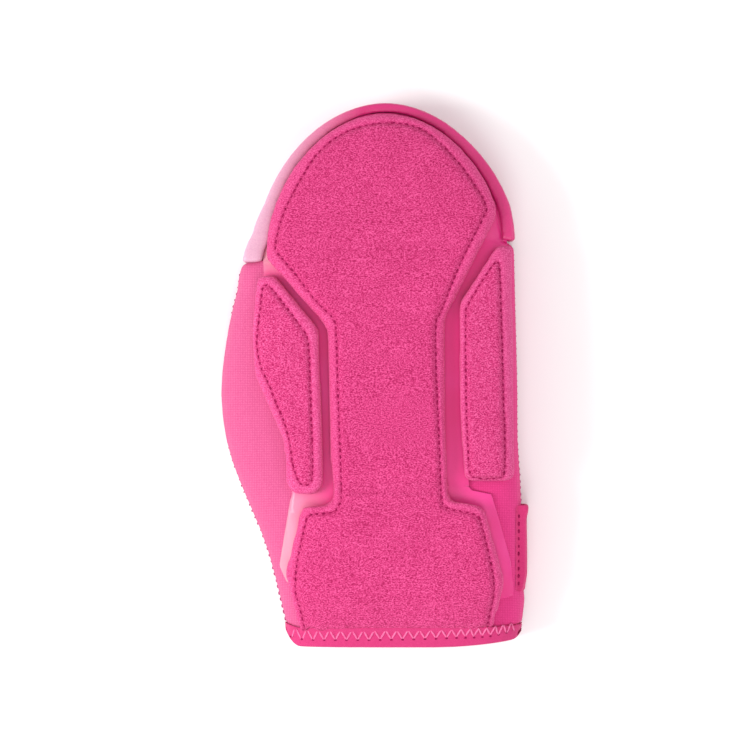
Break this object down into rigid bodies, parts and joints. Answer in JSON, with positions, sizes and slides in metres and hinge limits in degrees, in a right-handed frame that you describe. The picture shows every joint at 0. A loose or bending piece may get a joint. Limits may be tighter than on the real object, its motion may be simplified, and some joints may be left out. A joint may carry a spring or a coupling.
{
  "type": "sliding mitt",
  "caption": "Padded sliding mitt for a base runner's hand: knit sleeve, foam pads on the back, moulded guard round the finger end, bound wrist opening and wrist strap.",
  "frame": {"origin": "under the middle of the mitt, on the surface it lies on, palm down", "axes": "+Y from the wrist opening to the finger end, +X to the outer side of the hand with the thumb side at -X, +Z out of the back of the hand"},
  "size_m": [0.1606, 0.283, 0.0509],
  "materials": {
    "pile": "matte",
    "side_pile": "matte",
    "knit": "matte",
    "moulded": "satin",
    "film": "satin",
    "binding": "matte",
    "strap": "matte"
  },
  "bodies": {
    "root": {"back_sleeve": "knit", "palm_panel": "knit", "base_film": "film", "finger_guard": "moulded", "centre_shield": "pile", "thumb_pad": "side_pile", "outer_pad": "side_pile", "wrist_hem": "binding", "wrist_strap": "strap"}
  },
  "joints": []
}
